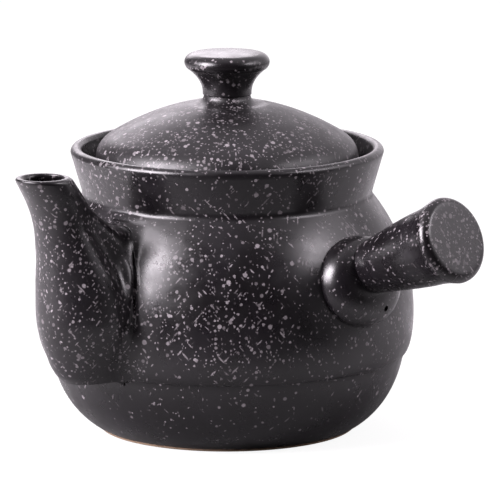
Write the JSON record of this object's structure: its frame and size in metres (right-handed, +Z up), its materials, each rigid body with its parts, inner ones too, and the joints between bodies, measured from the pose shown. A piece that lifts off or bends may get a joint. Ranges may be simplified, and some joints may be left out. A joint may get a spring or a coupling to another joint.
{
  "type": "side-handle teapot",
  "caption": "Round-bellied side-handle pot with a flared collar, a hollow spout at a right angle to the handle and a domed lift-off lid with a knob.",
  "frame": {"origin": "centre of the flat base, on the surface that the pot stands on", "axes": "+Z up along the pot's axis, +X along the handle, -Y towards the spout's mouth"},
  "size_m": [0.2691, 0.2542, 0.2036],
  "materials": {
    "speckled_glaze": "satin charcoal glaze with pale speckles",
    "bare_clay": "unglazed fired clay"
  },
  "bodies": {
    "pot": {"lower_bowl": "speckled_glaze", "belly_shell": "speckled_glaze", "collar": "speckled_glaze", "spout": "speckled_glaze", "spout_strainer": "speckled_glaze", "handle_boss": "speckled_glaze", "handle_grip": "speckled_glaze", "handle_end_cap": "speckled_glaze"},
    "lid": {"lid_dome": "speckled_glaze", "lid_flange": "bare_clay", "lid_knob": "speckled_glaze"}
  },
  "joints": [
    {"name": "lid_lift", "type": "slide", "parent": "pot", "child": "lid", "axis": [0, 0, 1], "range_m": [0, 0.04]}
  ]
}
